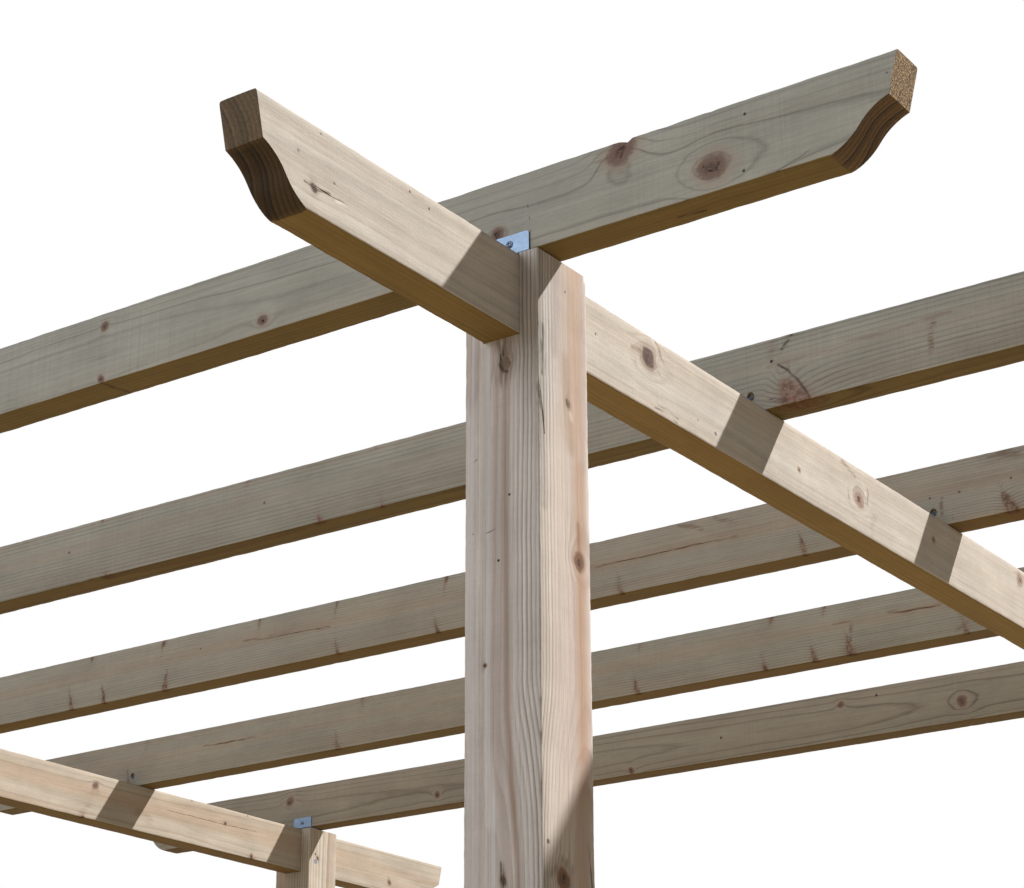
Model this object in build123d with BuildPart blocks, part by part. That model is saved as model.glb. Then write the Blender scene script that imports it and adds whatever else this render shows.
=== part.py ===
from build123d import *
import os
from math import cos, radians, sin

os.makedirs("parts", exist_ok=True)

# A free-standing timber pergola: four forked posts, two beams let down into the forks,
# and five rafters across them. Rafters run along X, beams along Y, and the ground is Z = 0.

# Sawn timber sections. Beams and rafters are the same section, set on edge.
post_width = 95
timber_depth = 95
timber_thickness = 47
arris_radius = 1.5

# Setting out. The first rafter lines up with the front of the front posts, the last one
# with the front of the back posts, and the bays between are as they were built.
post_height = 2400
post_spacing_x = 2046
rafter_bays = [539, 527, 507, 519]
rafter_setback = 4
beam_overhang = 427
rafter_overhang = 427

# Shaped ends: a raked nose above an ogee that is sawn out of the lower half.
nose_height = 47
nose_rake = 12
ogee_run = 68
ogee_sagitta = 3.2

# The fork in each post top: the beam sits on its floor, level with the tongue tops.
fork_clearance = 0.4

# Zinc-plated angle brackets that hold the end rafters.
bracket_width = 50
bracket_leg = 25
bracket_gauge = 2
bracket_corner = 4
bracket_bend_radius = 1
bracket_hole_diameter = 5
front_bracket_shift = 10
back_bracket_shift = 24

# Countersunk structural screws: one pins each beam in its fork, one toes down through
# each inner rafter into each beam.
shank_diameter = 5
head_diameter = 10
head_depth = 3
screw_clearance = 0.3
fork_screw_length = 60
fork_screw_inset = 23
fork_screw_rise = 23
toe_screw_length = 65
toe_screw_rise = 22
toe_screw_angle = 45

# Places worked out from the sizes above.
post_spacing_y = sum(rafter_bays)
slot_width = timber_thickness + 2 * fork_clearance
fork_floor = post_height - timber_depth
front_post_face = -post_spacing_y / 2 - post_width / 2
beam_length = post_spacing_y + post_width + 2 * beam_overhang
rafter_length = post_spacing_x + post_width + 2 * rafter_overhang

sides = {"left": -1, "right": 1}
ends = {"front": -1, "back": 1}
bracket_shift = {"front": front_bracket_shift, "back": back_bracket_shift}

rafter_faces = [front_post_face + rafter_setback]
for bay in rafter_bays:
    rafter_faces.append(rafter_faces[-1] + bay)
end_rafters = {"front": 1, "back": len(rafter_faces)}


def side_outline(length):
    """A timber seen from the side, standing on the sketch's own X axis, with both ends shaped."""
    tip = length / 2
    nose_foot = (tip - nose_rake, timber_depth - nose_height)
    ogee_foot = (nose_foot[0] - ogee_run, 0)
    turn = ((nose_foot[0] + ogee_foot[0]) / 2, nose_foot[1] / 2)
    with BuildSketch() as outline:
        with BuildLine() as right_half:
            Polyline((0, timber_depth), (tip, timber_depth), nose_foot)
            SagittaArc(nose_foot, turn, -ogee_sagitta)
            SagittaArc(turn, ogee_foot, ogee_sagitta)
            Line(ogee_foot, (0, 0))
            mirror(about=Plane.YZ)
        make_face()
    return outline.sketch


def screw_form(length, ease=0.0):
    """A countersunk screw pointing down Z, with its head's flat at Z = 0; ease makes it wider."""
    head_radius = head_diameter / 2 + ease
    shank_radius = shank_diameter / 2 + ease
    with BuildPart() as form:
        with BuildSketch(Plane.XZ):
            with BuildLine():
                Polyline(
                    (0, 0),
                    (head_radius, 0),
                    (shank_radius, -head_depth),
                    (shank_radius, -length),
                    (0, -length),
                    close=True,
                )
            make_face()
        revolve(axis=Axis.Z)
    return form.part


def screw_hole(length):
    """The hole that takes such a screw, with room for its head to be driven in at a slant."""
    with BuildPart() as hole:
        add(screw_form(length + screw_clearance, screw_clearance))
        with BuildSketch():
            Circle(head_diameter / 2 + screw_clearance)
        extrude(amount=head_diameter)
    return hole.part


def fork_screw_seat(side, end):
    """Where a beam is pinned: on the tongue that faces the middle, near the post's front arris."""
    across = sides[side] * (post_spacing_x / 2 - post_width / 2)
    along = ends[end] * post_spacing_y / 2 - post_width / 2 + fork_screw_inset
    return Plane(
        origin=(across, along, fork_floor + fork_screw_rise),
        x_dir=(0, 1, 0),
        z_dir=(-sides[side], 0, 0),
    )


def toe_screw_seat(side, number):
    """Where an inner rafter is toed down: on its front face, above the middle of the beam."""
    tilt = radians(toe_screw_angle)
    return Plane(
        origin=(
            sides[side] * post_spacing_x / 2,
            rafter_faces[number - 1],
            post_height + toe_screw_rise,
        ),
        x_dir=(1, 0, 0),
        z_dir=(0, -cos(tilt), sin(tilt)),
    )


def screw_node(name, length, seats):
    """Screws of one kind in a row, each in place in its hole."""
    with BuildPart() as screws:
        with Locations(seats):
            add(screw_form(length))
    screws.part.label = name
    export_step(screws.part, f"parts/{name}.step")


fork_hole = screw_hole(fork_screw_length)
toe_hole = screw_hole(toe_screw_length)
inner_rafters = range(2, len(rafter_faces))

# Posts, each with a slot sawn down the middle of its top from front to back.
for end in ends:
    for side in sides:
        foot = Plane((sides[side] * post_spacing_x / 2, ends[end] * post_spacing_y / 2, 0))
        with BuildPart() as post:
            with BuildSketch(foot):
                Rectangle(post_width, post_width)
            extrude(amount=post_height)
            fillet(post.edges().filter_by(Axis.Z), arris_radius)
            with BuildSketch(foot.offset(fork_floor)):
                Rectangle(slot_width, post_width)
            extrude(amount=timber_depth, mode=Mode.SUBTRACT)
            with Locations(fork_screw_seat(side, end)):
                add(fork_hole, mode=Mode.SUBTRACT)
        post.part.label = f"post_{end}_{side}"
        export_step(post.part, f"parts/{post.part.label}.step")

# Beams, on edge in the forks and running on past the posts.
for side in sides:
    middle = Plane(
        origin=(sides[side] * post_spacing_x / 2, 0, fork_floor),
        x_dir=(0, 1, 0),
        z_dir=(1, 0, 0),
    )
    with BuildPart() as beam:
        with BuildSketch(middle):
            add(side_outline(beam_length))
        extrude(amount=timber_thickness / 2, both=True)
        fillet(beam.edges().filter_by(Axis.Y), arris_radius)
        for end in ends:
            with Locations(fork_screw_seat(side, end)):
                add(fork_hole, mode=Mode.SUBTRACT)
        for number in inner_rafters:
            with Locations(toe_screw_seat(side, number)):
                add(toe_hole, mode=Mode.SUBTRACT)
    beam.part.label = f"beam_{side}"
    export_step(beam.part, f"parts/{beam.part.label}.step")

# Rafters, on edge across the beams. The end ones stand on their brackets' lower legs.
for number, face in enumerate(rafter_faces, start=1):
    on_bracket = number in end_rafters.values()
    seat = post_height + (bracket_gauge if on_bracket else 0)
    middle = Plane(
        origin=(0, face + timber_thickness / 2, seat),
        x_dir=(1, 0, 0),
        z_dir=(0, -1, 0),
    )
    with BuildPart() as rafter:
        with BuildSketch(middle):
            add(side_outline(rafter_length))
        extrude(amount=timber_thickness / 2, both=True)
        fillet(rafter.edges().filter_by(Axis.X), arris_radius)
        if number in inner_rafters:
            for side in sides:
                with Locations(toe_screw_seat(side, number)):
                    add(toe_hole, mode=Mode.SUBTRACT)
    rafter.part.label = f"rafter_{number}"
    export_step(rafter.part, f"parts/{rafter.part.label}.step")

# Angle brackets: the lower leg lies on the beam and tongue under the rafter, the upper
# one stands against the rafter's front face.
for end, number in end_rafters.items():
    for side in sides:
        across = sides[side] * post_spacing_x / 2 + bracket_shift[end]
        corner = Plane(
            origin=(across, rafter_faces[number - 1] - bracket_gauge, post_height),
            x_dir=(0, 1, 0),
            z_dir=(1, 0, 0),
        )
        with BuildPart() as bracket:
            with BuildSketch(corner):
                with BuildLine():
                    angle = FilletPolyline(
                        (0, bracket_leg), (0, 0), (bracket_leg, 0),
                        radius=bracket_bend_radius + bracket_gauge,
                    )
                    offset(angle, amount=bracket_gauge, side=Side.LEFT)
                make_face()
            extrude(amount=bracket_width / 2, both=True)
            upper_tip = bracket.edges().filter_by(Axis.Y).group_by(Axis.Z)[-1]
            lower_tip = bracket.edges().filter_by(Axis.Z).group_by(Axis.Y)[-1]
            fillet(upper_tip + lower_tip, bracket_corner)
            upper_leg = bracket.faces().sort_by(Axis.Y)[0]
            lower_leg = bracket.faces().sort_by(Axis.Z)[0]
            for leg in (upper_leg, lower_leg):
                with Locations(leg):
                    Hole(bracket_hole_diameter / 2)
        bracket.part.label = f"bracket_{end}_{side}"
        export_step(bracket.part, f"parts/{bracket.part.label}.step")

# Screws in their holes, one node for each pair of like ones.
for end in ends:
    seats = [fork_screw_seat(side, end) for side in sides]
    screw_node(f"fork_screws_{end}", fork_screw_length, seats)
for number in inner_rafters:
    seats = [toe_screw_seat(side, number) for side in sides]
    screw_node(f"toe_screws_{number}", toe_screw_length, seats)
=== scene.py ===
from functools import reduce
from itertools import pairwise
from math import cos, pi, radians, sin, sqrt, tan

import bmesh
import bpy
import numpy as np
from mathutils import Matrix, Vector


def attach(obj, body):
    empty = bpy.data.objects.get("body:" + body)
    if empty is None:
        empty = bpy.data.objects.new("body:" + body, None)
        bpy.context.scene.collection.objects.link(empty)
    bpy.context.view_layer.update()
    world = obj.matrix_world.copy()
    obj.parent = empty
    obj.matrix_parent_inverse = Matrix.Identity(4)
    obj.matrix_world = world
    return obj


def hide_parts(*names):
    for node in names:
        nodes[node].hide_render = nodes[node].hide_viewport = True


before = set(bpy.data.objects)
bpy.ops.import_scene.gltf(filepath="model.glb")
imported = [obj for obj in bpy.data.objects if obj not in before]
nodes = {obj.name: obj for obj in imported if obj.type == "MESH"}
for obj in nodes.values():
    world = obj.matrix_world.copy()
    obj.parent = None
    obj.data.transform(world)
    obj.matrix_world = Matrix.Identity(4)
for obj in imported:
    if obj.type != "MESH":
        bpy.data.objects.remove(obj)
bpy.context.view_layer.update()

# The viewpoint: at eye height outside the front right corner, looking up along the near post's
# head. The picture is 36 mm wide on the camera's own scale.
view_place = Vector((2.3296, -2.9431, 1.2932))
view_azimuth = radians(34.955)
view_elevation = radians(21.496)
view_roll = radians(-0.198)
view_lens = 82.09


def put(name, data):
    """An object of the scene that holds some data."""
    placed = bpy.data.objects.new(name, data)
    bpy.context.scene.collection.objects.link(placed)
    return placed


camera = put("camera", bpy.data.cameras.new("camera"))
camera.data.sensor_width = 36
camera.data.lens = view_lens
camera.data.clip_end = 100
forward = Vector((
    -sin(view_azimuth) * cos(view_elevation),
    cos(view_azimuth) * cos(view_elevation),
    sin(view_elevation),
))
level_right = Vector((cos(view_azimuth), sin(view_azimuth), 0))
level_up = level_right.cross(forward)
right = cos(view_roll) * level_right + sin(view_roll) * level_up
up = cos(view_roll) * level_up - sin(view_roll) * level_right
camera.matrix_world = Matrix.Translation(view_place) @ Matrix((right, up, -forward)).transposed().to_4x4()
bpy.context.scene.camera = camera
bpy.context.scene.view_settings.view_transform = "Standard"


# The four posts: square sawn softwood with worn, chipped arrises and faces that drying has opened in
# checks, and a fork sawn in each head from front to back. Sizes are in millimetres, and a place on a
# timber is given along it, across it and up.
metre = 1000
post_width = 95
post_height = 2400
post_spacing_x = 2046
post_spacing_y = 2092
fork_depth = 95
fork_width = 47.8
arris_radius = 2.0
arris_steps = 3
arris_pitch = 2.0
arris_wear = 0.35 * 0.3
wear_reach = 7.0
wear_share = 0.75
dents_an_arris = 14
saw_waves = ((37.0, 0.05), (83.0, 0.08), (240.0, 0.10))
unchipped = ((), (), (), ())
station_pitch = 8.0
fine_station_pitch = 4.0
fine_from = 1600
lane_pitch = 7
check_lane = 0.4
check_reach = 12
check_fade = 80
crease = radians(38)
grain_axes = {"X": (0, 1, 2), "Y": (1, 0, 2), "Z": (2, 0, 1)}
check_ways = {"front": (1, -1), "back": (1, 1), "left": (2, -1), "right": (2, 1)}


class Shade:
    """One output among a tree's nodes, on which sums are written as plain expressions."""

    def __init__(self, tree, socket=None):
        self.tree = tree
        self.socket = socket

    def make(self, kind, sockets=(), out=0, stops=(), **settings):
        """A node of any type, with its settings, its colour stops and its sockets' values or links."""
        node = self.tree.nodes.new(kind)
        for setting, value in settings.items():
            setattr(node, setting, value)
        if stops:
            bands = node.color_ramp.elements
            while len(bands) < len(stops):
                bands.new(1.0)
            for band, (place, tone) in zip(bands, stops):
                band.position = place
                band.color = (tone, tone, tone, 1)
        for key, value in dict(sockets).items():
            if isinstance(value, Shade):
                self.tree.links.new(value.socket, node.inputs[key])
            else:
                node.inputs[key].default_value = value
        return Shade(self.tree, node.outputs[out] if len(node.outputs) else None)

    def sum(self, operation, *values, out=0):
        """Maths on numbers, or on vectors as soon as one of the values is a vector."""
        vector = any(
            isinstance(v, tuple) or (isinstance(v, Shade) and v.socket.type == "VECTOR") for v in values
        )
        if vector:
            values = [(v, v, v) if isinstance(v, (int, float)) else v for v in values]
        kind = "ShaderNodeVectorMath" if vector else "ShaderNodeMath"
        return self.make(kind, enumerate(values), out=out, operation=operation)

    def by(self, operation, *others, out=0):
        """Any sum that starts from this value."""
        return self.sum(operation, self, *others, out=out)

    def __add__(self, other):
        return self.by("ADD", other)

    def __radd__(self, other):
        return self.by("ADD", other)

    def __sub__(self, other):
        return self.by("SUBTRACT", other)

    def __rsub__(self, other):
        return self.sum("SUBTRACT", other, self)

    def __mul__(self, other):
        return self.by("MULTIPLY", other)

    def __rmul__(self, other):
        return self.by("MULTIPLY", other)

    def __truediv__(self, other):
        return self.by("DIVIDE", other)

    def __rtruediv__(self, other):
        return self.sum("DIVIDE", other, self)

    def __pow__(self, other):
        return self.by("POWER", other)

    def dot(self, other):
        return self.by("DOT_PRODUCT", other, out="Value")

    def low(self, other):
        return self.by("MINIMUM", other)

    def high(self, other):
        return self.by("MAXIMUM", other)

    def rise(self, start, end, low=0.0, high=1.0):
        """A smooth step from low at start to high at end."""
        sockets = {0: self, 1: start, 2: end, 3: low, 4: high}
        return self.make("ShaderNodeMapRange", sockets, interpolation_type="SMOOTHSTEP")

    def parts(self):
        split = self.make("ShaderNodeSeparateXYZ", {0: self})
        return [Shade(self.tree, socket) for socket in split.socket.node.outputs]

    def noise(self, fineness, seed, detail=2.0, roughness=0.5, out=0):
        """Noise on this vector: fineness is the number of waves in a millimetre, along each axis."""
        spot = self * fineness + (seed * 7.31, seed * 3.17, seed * 5.93)
        sockets = {"Vector": spot, "Scale": 1.0, "Detail": detail, "Roughness": roughness}
        return self.make("ShaderNodeTexNoise", sockets, out=out)

    def blend(self, amount, first, second, mode="MIX"):
        """Two colours mixed by an amount."""
        sockets = {0: amount, 6: first, 7: second}
        return self.make("ShaderNodeMix", sockets, out=2, data_type="RGBA", blend_type=mode)

    def tint(self, other, amount, mode="MIX"):
        """This colour with another one laid over it by an amount."""
        return self.blend(amount, self, other, mode)

    def lit(self, light):
        """This colour made lighter or darker, by a number that is about 1."""
        return self.tint(self.make("ShaderNodeCombineColor", {n: light for n in range(3)}), 1.0, "MULTIPLY")


def rgb(red, green, blue):
    """A colour as it is read off a screen, from 0 to 255."""
    channels = []
    for level in (red, green, blue):
        part = level / 255
        channels.append(part / 12.92 if part <= 0.04045 else ((part + 0.055) / 1.055) ** 2.4)
    return (*channels, 1.0)


def new_material(name):
    """An empty material, and the sheet that its nodes are written on."""
    material = bpy.data.materials.new(name)
    material.use_nodes = True
    material.node_tree.nodes.clear()
    return material, Shade(material.node_tree)


def branch(pith, lean, spot, radius, tilt):
    """Where a branch starts at the pith, its direction, and how fast it widens to the knot seen at a spot."""
    reach = sqrt((spot[1] - pith[0]) ** 2 + (spot[2] - pith[1]) ** 2)
    start_along = spot[0] - reach * tan(radians(tilt))
    start = Vector((start_along, pith[0] + lean[0] * start_along, pith[1] + lean[1] * start_along))
    way = Vector(spot) - start
    return tuple(start), tuple(way.normalized()), radius / way.length


def line_gap(base, spots):
    """How far each place is from a line drawn through spots."""
    gaps = []
    for head, tail in pairwise(spots):
        way = Vector(tail) - Vector(head)
        gap = base - head
        gap = gap - (gap.dot(tuple(way)) / way.length_squared).high(0.0).low(1.0) * tuple(way)
        gaps.append(gap.dot(gap))
    return reduce(Shade.low, gaps) ** 0.5


def sawn_timber(
    name, along, middle, pith, lean, ring, seed, side=0.0,
    knots=(), dead_knots=(), spikes=(), pins=(), strokes=(), bends=(), bands=(),
    fresh=rgb(189, 185, 174), late=rgb(134, 124, 112), blush=rgb(180, 157, 138), blush_amount=0.35,
    contrast=1.0, late_share=0.3, saw=0.6, wander=9.0, streaks=1.0, swelling=0.9, core=0.0, speckle=1.0,
    end_light=1.0, live_tones=(rgb(146, 118, 106), rgb(102, 75, 67), rgb(52, 32, 30)),
    dead_tones=(rgb(66, 50, 42), rgb(116, 94, 78)), spike_tones=(rgb(160, 130, 112), rgb(104, 78, 66)),
):
    """Sawn softwood for one timber: the rings of the trunk it was cut from, its branches and its saw marks.

    The grain's own place is (along, across, up) from the timber's middle, and a spot given by along and
    up alone lies on the side that is given. The pith is given across and up, and leans from the timber's
    line by two slopes. A knot may have a pith of its own, where its branch starts.
    """
    material, sheet = new_material(name)
    middling = (0.5, 0.5, 0.5)

    def placed(spot):
        return spot if len(spot) == 3 else (spot[0], side, spot[1])

    def waves(along_it, across_it, number, detail=2, roughness=0.5, out=0):
        """Noise with waves of so many millimetres along the grain and across it."""
        fineness = (1 / along_it, 1 / across_it, 1 / across_it)
        return grain.noise(fineness, seed + number, detail, roughness, out)

    # Where a point lies in the timber, and which way its face looks.
    place = sheet.make("ShaderNodeTexCoord", out="Object")
    axes = place.by("MULTIPLY_ADD", (metre, metre, metre), tuple(-metre * m for m in middle)).parts()
    grain = sheet.make("ShaderNodeCombineXYZ", {n: axes[a] for n, a in enumerate(grain_axes[along])})
    facing = sheet.make("ShaderNodeNewGeometry", out="Normal").parts()
    squareness = facing[grain_axes[along][0]].by("ABSOLUTE")
    slant_cut = squareness.rise(0.16, 0.42)
    square_cut = squareness.rise(0.86, 0.94)
    # below masks the faces that turn down, for the painted shade on undersides.
    below = facing[2].rise(-0.35, -0.8)
    above = facing[2].rise(0.4, 0.8)

    # How far it lies from the pith, and how its branches push the rings out.
    swirl = (waves(420, 70, 0, detail=1, out=1) - middling) * (0.0, wander, wander)
    run, across, rise = (grain + swirl).parts()
    off_a = across - run * lean[0] - pith[0]
    off_u = rise - run * lean[1] - pith[1]
    depth = (off_a * off_a + off_u * off_u) ** 0.5
    ragged = grain + (waves(9, 6, 1, detail=1, out=1) - middling) * 1.3
    ragged = ragged + (waves(24, 18, 15, detail=0, out=1) - middling) * 6.0
    pushes, nearness = [], {}
    for kind, family in (("live", knots), ("dead", dead_knots), ("spike", spikes)):
        for spot, radius, tilt, *own_pith in family:
            start, way, taper = branch(own_pith[0] if own_pith else pith, lean, placed(spot), radius, tilt)
            gap = ragged - start
            reach = gap.dot(way)
            girth = (reach * taper).high(0.4)
            apart = (gap.dot(gap) - reach * reach) / (girth * girth)
            nearness[kind] = nearness[kind].low(apart) if kind in nearness else apart
            pushes.append((swelling * radius) / (apart * 0.16 + 1.0))
    swell = reduce(lambda one, other: one.by("SMOOTH_MAX", other, 7.0), pushes)
    for spot, reach, push in bends:
        gap = (grain - spot) / reach
        swell = gap.dot(gap).rise(1.0, 0.0) * push + swell

    # The rings: pale early wood that darkens to a line of late wood, not the same in every year.
    years = (depth - swell) / ring + (waves(90, 6, 2, detail=1) - 0.5) * 0.2
    season = years.by("FRACT")
    band = sheet.make("ShaderNodeValToRGB", {0: season}, stops=(
        (0.0, 0.45), (0.05, 0.1), (0.12, 0.0), (1 - late_share * 1.3, 0.06),
        (1 - late_share * 0.45, 0.75), (0.95, 1.0), (1.0, 0.45),
    ))
    year = {"W": years.by("FLOOR") + seed * 13.0}
    vigour = sheet.make("ShaderNodeTexWhiteNoise", year, out="Value", noise_dimensions="1D")
    ringline = band * (vigour * 0.7 + 0.3)

    broad = waves(900, 38, 3)
    streak = waves(320, 2.6, 12, roughness=0.6)
    fibre = waves(20, 0.8, 5, roughness=0.6)
    soil = waves(120, 60, 6, detail=4, roughness=0.65)
    patch = waves(260, 200, 7)
    teeth = waves(2.4, 360, 8, detail=1, roughness=0.6)
    mottled = waves(7, 3, 9, detail=3, roughness=0.6)
    frayed = waves(32, 2.4, 16, roughness=0.6).rise(0.36, 0.58)

    # The sawn face: rings, blush, the redder heart of the trunk, dirt and saw marks, then broad bands.
    ring_tone = ringline * (0.85 * contrast)
    if core:
        inner = depth.rise(core + 9, core - 9)
        ring_tone = ring_tone * (1.0 - inner * 0.4)
    colour = sheet.blend(ring_tone, fresh, late).tint(blush, broad.rise(0.42, 0.66) * blush_amount)
    if core:
        colour = colour.tint(blush, inner * 0.5)
    swirled = (reduce(Shade.low, nearness.values()) ** 0.5).rise(4.2, 1.3)
    colour = colour.tint(rgb(112, 98, 88), ringline * swirled * 0.55)
    light = (streak - 0.5) * (0.42 * streaks) + (fibre - 0.5) * 0.3 + (soil - 0.5) * 0.5
    light = light + (teeth - 0.5) * patch.rise(0.4, 0.65, 0.1, 1.0) * (0.34 * saw)
    colour = colour.lit(light + (mottled - 0.5) * 0.14 + 1.0)
    for width, tone, amount, *spots in bands:
        laid = line_gap(grain, map(placed, spots)).rise(width * 1.7, width * 0.1) * amount
        colour = colour.tint(tone, laid * streak.rise(0.3, 0.65, 0.35, 1.0))

    # The knots: live ones with rings, a dark rim and a crack, stubs that run out to an edge, dead ones.
    if "live" in nearness:
        gap = nearness["live"] ** 0.5
        colour = colour.tint(rgb(184, 158, 140), gap.rise(2.1, 1.05) * 0.55)
        turns = (gap * 15.0 + mottled * 5.0).by("SINE") * 0.5 + 0.5
        disc = sheet.blend(turns * 0.3 + gap.rise(0.95, 0.45) * 0.5, live_tones[0], live_tones[1])
        disc = disc.tint(live_tones[2], gap.rise(0.6, 0.1) * mottled.rise(0.36, 0.52) * 0.85)
        colour = colour.tint(disc, gap.rise(1.2, 0.84) * 0.85)
        rim = gap.rise(0.8, 1.02) * gap.rise(1.3, 1.06) * mottled.rise(0.34, 0.6)
        colour = colour.tint(live_tones[2], rim * 0.32)
        crack = (waves(15, 9, 10) - 0.5).by("ABSOLUTE").rise(0.045, 0.0) * gap.rise(0.85, 0.3)
        colour = colour.tint(rgb(44, 24, 22), crack)
    if "spike" in nearness:
        gap = nearness["spike"] ** 0.5
        outer = depth.rise(8.0, 34.0)
        blot = waves(7, 7, 14, detail=3, roughness=0.65).rise(0.4, 0.6)
        colour = colour.tint(spike_tones[0], gap.rise(1.8, 0.4) * outer * 0.75)
        colour = colour.tint(spike_tones[1], gap.rise(1.2, 0.6) * outer * blot * 0.8)
    if "dead" in nearness:
        gap = nearness["dead"] ** 0.5
        colour = colour.tint(rgb(168, 146, 126), gap.rise(2.2, 1.0) * 0.55)
        colour = colour.tint(sheet.blend(mottled.rise(0.4, 0.62), *dead_tones), gap.rise(1.18, 0.8) * 0.9)

    # Pin knots, then scars, scrapes, cracks, and painted highlights and shadow lines along ridges, as single
    # strokes.
    for spot, radius, amount in pins:
        apart = grain - placed(spot)
        near = apart.dot(apart).rise((radius * 1.4) ** 2, (radius * 0.5) ** 2)
        colour = colour.tint(rgb(66, 42, 36), near * amount)
    for width, tone, amount, *spots in strokes:
        laid = line_gap(ragged, map(placed, spots)).rise(width * 1.25, width * 0.1) * amount
        colour = colour.tint(tone, laid * (frayed if width > 2.5 else (mottled * 1.4 + 0.2).low(1.0)))
    # Tops are laid over with a weathered pale grey. Undersides are multiplied by an olive brown: painted
    # shade, darker as the face turns down.
    colour = colour.tint(rgb(190, 187, 180), above * 0.35).tint(rgb(160, 134, 80), below, "MULTIPLY")

    # The cut ends: darker where the cut is slanted, partly the end grain's own tone and partly painted shade,
    # as these cuts face down under the nose; speckled with open pores where it is square.
    pores = waves(2.6, 1.9, 11, detail=1, roughness=0.6)
    growth = (season.rise(0.2, 0.95) * 0.5 + vigour.rise(0.3, 0.9) * 0.45).high(ringline).low(1.0)
    slant = sheet.blend(growth, rgb(116, 88, 60), rgb(40, 33, 27))
    square = sheet.blend(growth * 0.8, rgb(172, 140, 104), rgb(78, 62, 50))
    square = square.tint(rgb(222, 190, 142), pores.rise(0.5, 0.62) * (0.75 * speckle))
    square = square.tint(rgb(80, 54, 32), pores.rise(0.49, 0.36) * (0.75 * speckle))
    ends = slant.tint(square, square_cut)
    ends = ends.lit(((streak - 0.5) * 0.6 + (fibre - 0.5) * 0.4 + 1.0) * end_light)
    colour = colour.tint(ends, slant_cut * 0.95)

    opened = sheet.make("ShaderNodeAttribute", out="Fac", attribute_name="check")
    relief = (fibre - 0.5) * 0.24 + (teeth - 0.5) * (0.2 * saw) + (mottled - 0.5) * 0.12
    relief = relief + slant_cut * (pores - 0.5) * 0.9
    wood = sheet.make("ShaderNodeBsdfPrincipled", {
        "Base Color": colour.tint(rgb(34, 24, 18), opened.rise(0.05, 0.5)),
        "Roughness": (fibre * 0.12 + 0.76).low(1.0),
        "Normal": sheet.make("ShaderNodeBump", {"Height": relief, "Strength": 1.0, "Distance": 0.001}),
        "Specular IOR Level": 0.25,
    })
    sheet.make("ShaderNodeOutputMaterial", {0: wood})
    return material


def worn_depth(start, length, rng, chips):
    """How far an arris is worn in along its length, with small dents, and chips where they are named."""
    run = np.arange(0.0, length + arris_pitch, arris_pitch)
    depth = np.full(run.shape, 0.1)
    for wave in (7.0, 16.0, 41.0, 95.0):
        wave *= 0.8 + 0.4 * rng.random()
        depth += arris_wear * (1 + np.sin(run * 2 * pi / wave + rng.random() * 2 * pi))
    for _ in range(dents_an_arris):
        at, half, bite = rng.random() * length, 3 + 14 * rng.random() ** 2, 0.4 + 1.5 * rng.random() ** 3
        depth = np.maximum(depth, bite * np.clip(1.3 * (1 - np.abs(run - at) / half), 0, 1))
    for at, half, bite in chips:
        depth = np.maximum(depth, bite * np.clip(1.5 * (1 - np.abs(run - (at - start)) / half), 0, 1))
    return run + start, depth


def weather(points, half, middle, tall, start, length, chips, rng):
    """Wears the arrises of a timber inwards, and its faces by the small waves that a saw leaves."""
    corners = [(a, middle + b) for b in (-tall, tall) for a in (-half, half)]
    arrises = [(corner, worn_depth(start, length, rng, own)) for corner, own in zip(corners, chips)]
    along, across, rise = points.T.copy()
    for (arris_a, arris_b), (run, depth) in arrises:
        near = np.clip(1 - np.hypot(across - arris_a, rise - arris_b) / wear_reach, 0, 1) ** 2
        bite = near * np.interp(along, run, depth)
        points[:, 1] -= np.sign(arris_a) * bite * wear_share
        points[:, 2] -= np.sign(arris_b - middle) * bite * wear_share
    for axis, centre, reach, other in ((1, 0.0, half, rise), (2, middle, tall, across)):
        wave = np.zeros(len(along))
        for span, size in saw_waves:
            wave += size * (1 + np.sin(along * 2 * pi / span + other / 23.0 + rng.random() * 2 * pi))
        side = (points[:, axis] - centre) / reach
        points[:, axis] -= np.sign(side) * np.abs(side) ** 3 * wave
    return points


def joined_grids(grids):
    """Lays grids of points side by side and joins the points that meet into one closed skin."""
    points = np.concatenate([g.reshape(-1, 3) for g, _ in grids])
    depths = np.concatenate([d.reshape(-1) for _, d in grids])
    quads, first = [], 0
    for spots, _ in grids:
        rows, columns = spots.shape[:2]
        corner = (first + np.arange(rows - 1)[:, None] * columns + np.arange(columns - 1)).reshape(-1)
        quads.append(np.stack([corner, corner + 1, corner + columns + 1, corner + columns], axis=1))
        first += rows * columns
    quads = np.concatenate(quads)
    _, kept, place = np.unique(np.round(points, 3), axis=0, return_index=True, return_inverse=True)
    return points[kept], depths[kept], place.reshape(-1)[quads]


def skin(name, points, depths, quads, origin, along):
    """A timber's mesh from its grain's own places, turned into the object's frame."""
    placed = np.empty_like(points)
    for column, axis in enumerate(grain_axes[along]):
        placed[:, axis] = points[:, column] * 0.001 + origin[axis]
    mesh = bpy.data.meshes.new(name)
    mesh.from_pydata(placed.tolist(), [], quads.tolist())
    layer = mesh.attributes.new("check", "FLOAT", "POINT")
    layer.data.foreach_set("value", depths.astype(np.float32))
    work = bmesh.new()
    work.from_mesh(mesh)
    bmesh.ops.dissolve_degenerate(work, dist=1e-6, edges=work.edges)
    bmesh.ops.recalc_face_normals(work, faces=work.faces)
    work.to_mesh(mesh)
    work.free()
    mesh.shade_smooth()
    mesh.set_sharp_from_angle(angle=crease)
    return put(name, mesh)


def marks_on(checks, *faces):
    return sorted({check[1] for check in checks if check[0] in faces})


def lanes(start, end, marks):
    """Places across a face from start to end, about one pitch apart, with three close together at a check."""
    places = [start, end]
    for mark in marks:
        places += [mark - check_lane, mark, mark + check_lane]
    steps = np.linspace(start, end, max(2, round((end - start) / lane_pitch)) + 1)[1:-1]
    places += [s for s in steps if all(abs(s - m) > lane_pitch / 2 for m in marks)]
    return np.array(sorted(places))


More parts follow.
